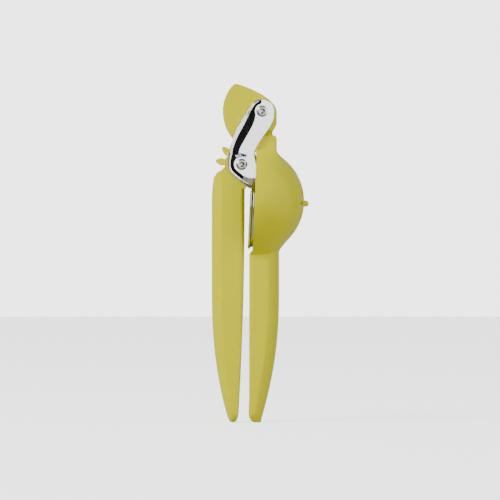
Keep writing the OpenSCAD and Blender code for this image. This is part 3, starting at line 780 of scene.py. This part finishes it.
def spun_pin(name, x, z):
    """A pin along Y: profile of (distance from its middle, radius), the same at both ends."""
    seat = ARM_SIDES[1]
    top = seat + HEAD_H
    half = [(top - 0.55, 0.001), (top - 0.5, 0.9), (top - 0.2, 1.5), (top, 2.0), (top, 2.5),
            (top - 0.15, 2.9), (top - 0.5, 3.15), (top - 0.55, 3.4), (seat + 0.45, 3.75),
            (seat + 0.15, HEAD_R), (seat, HEAD_R), (seat, PIN_R)]
    profile = np.array([(-y, r) for y, r in half] + half[::-1])
    a = np.linspace(0, 2 * np.pi, 72, endpoint=False)
    y = profile[:, 0][:, None] + 0 * a
    r = profile[:, 1][:, None]
    rings = np.stack([x + r * np.sin(a), y, z + r * np.cos(a)], -1)
    return ring_solid(name, rings, 50)


rivet_steel = bare_metal("rivet_steel", (0.56, 0.56, 0.53), 0.22, 700)
finish_piece(spun_pin("head_pin", 0, 0), rivet_steel, "plunger", "rivet_steel", "upper_pin")
finish_piece(spun_pin("lever_pin", *pin), rivet_steel, "plunger", "rivet_steel", "lower_pin")
finish_node(rivet_steel, "bridge_rivets")

# ---- Stage: floor, lights and camera ------------------------------------------------
# A pale floor, soft boxes round the press and a long lens level with it, seen from the side.
CAMERA_AT = np.array([-7.0, 0, 116.9]) * 0.001
FRAME_SIDE = 0.340
LENS, SENSOR = 200.0, 36.0


def plain(name, colour, rough=0.9, glow=0.0):
    """One even colour, which also glows where glow is more than 0."""
    material = bpy.data.materials.new(name)
    material.use_nodes = True
    shader = material.node_tree.nodes["Principled BSDF"]
    shader.inputs["Base Color"].default_value = (*colour, 1)
    shader.inputs["Roughness"].default_value = rough
    shader.inputs["Emission Color"].default_value = (*colour, 1)
    shader.inputs["Emission Strength"].default_value = glow
    return material


def card(name, middle, size, material):
    """A flat upright card that faces the press."""
    mesh = bpy.data.meshes.new(name)
    toward = -np.array(middle, float)
    toward[2] = 0
    toward /= np.linalg.norm(toward)
    side = np.array([-toward[1], toward[0], 0]) * size[0] / 2
    up = np.array([0, 0, size[1] / 2])
    m = np.array(middle, float)
    mesh.from_pydata([(m - side - up).tolist(), (m + side - up).tolist(),
                      (m + side + up).tolist(), (m - side + up).tolist()], [], [[0, 1, 2, 3]])
    piece = bpy.data.objects.new(name, mesh)
    bpy.context.scene.collection.objects.link(piece)
    mesh.materials.append(material)
    return piece


def soft_box(name, at, size, power):
    """An area light of size metres that points at the middle of the press."""
    light = bpy.data.lights.new(name, "AREA")
    light.shape = "RECTANGLE"
    light.size, light.size_y = size
    light.energy = power
    lamp = bpy.data.objects.new(name, light)
    bpy.context.scene.collection.objects.link(lamp)
    lamp.location = at
    lamp.visible_camera = False
    aim = np.array([0, 0, 0.12]) - np.array(at)
    lamp.rotation_mode = "QUATERNION"
    lamp.rotation_quaternion = Vector(aim).to_track_quat("-Z", "Y")


floor_mesh = bpy.data.meshes.new("floor")
floor_mesh.from_pydata([(-12, -12, -0.0004), (12, -12, -0.0004), (12, 3, -0.0004), (-12, 3, -0.0004)],
                       [], [[0, 1, 2, 3]])
floor = bpy.data.objects.new("floor", floor_mesh)
bpy.context.scene.collection.objects.link(floor)
floor_mesh.materials.append(plain("floor_white", (0.9, 0.9, 0.9), 0.9, 2.3))
floor.visible_diffuse = False
floor.visible_glossy = False

studio_white = plain("backdrop_white", (1, 1, 1), 1.0, 3.0)
for name, at, size in (("backdrop", (0, 3, 2.9), (24, 6)), ("wall_right", (12, 0, 5.9), (24, 12)),
                       ("wall_left", (-12, 0, 5.9), (24, 12)), ("wall_front", (0, -12, 5.9), (24, 12))):
    only_seen = card(name, at, size, studio_white)
    only_seen.visible_diffuse = False
    only_seen.visible_glossy = False
    only_seen.visible_transmission = False
    only_seen.visible_shadow = False

black = plain("flag_black", (0.002, 0.002, 0.002), 1.0)
white = plain("card_white", (1, 1, 1), 1.0, 1.9)
for name, at, size, finish in (("dark_flag_left", (-0.62, -0.95, 0.2), (0.78, 1.7), black),
                               ("dark_flag_over", (-0.2, -1.0, 1.05), (0.8, 1.0), black),
                               ("white_card_right", (1.1, -0.5, 0.4), (1.3, 1.8), white),
                               ("white_card_front", (0.1, -2.5, 0.3), (1.7, 1.5), white)):
    only_mirrored = card(name, at, size, finish)
    only_mirrored.visible_camera = False
    only_mirrored.visible_diffuse = False
    only_mirrored.visible_shadow = False

world = bpy.data.worlds.new("studio")
bpy.context.scene.world = world
world.use_nodes = True
world.node_tree.nodes["Background"].inputs["Color"].default_value = (1, 1, 1, 1)
world.node_tree.nodes["Background"].inputs["Strength"].default_value = 0.42
soft_box("key", (-1.5, -0.9, 1.2), (1.0, 1.0), 36)
soft_box("side", (1.2, -1.3, 0.8), (0.9, 1.2), 8)

camera_data = bpy.data.cameras.new("camera")
camera_data.sensor_width = SENSOR
camera_data.lens = LENS
camera = bpy.data.objects.new("camera", camera_data)
bpy.context.scene.collection.objects.link(camera)
distance = FRAME_SIDE / SENSOR * LENS
camera.location = CAMERA_AT + np.array([0, -distance, 0])
camera.rotation_euler = (math.pi / 2, 0, 0)
camera_data.clip_end = 20
bpy.context.scene.camera = camera
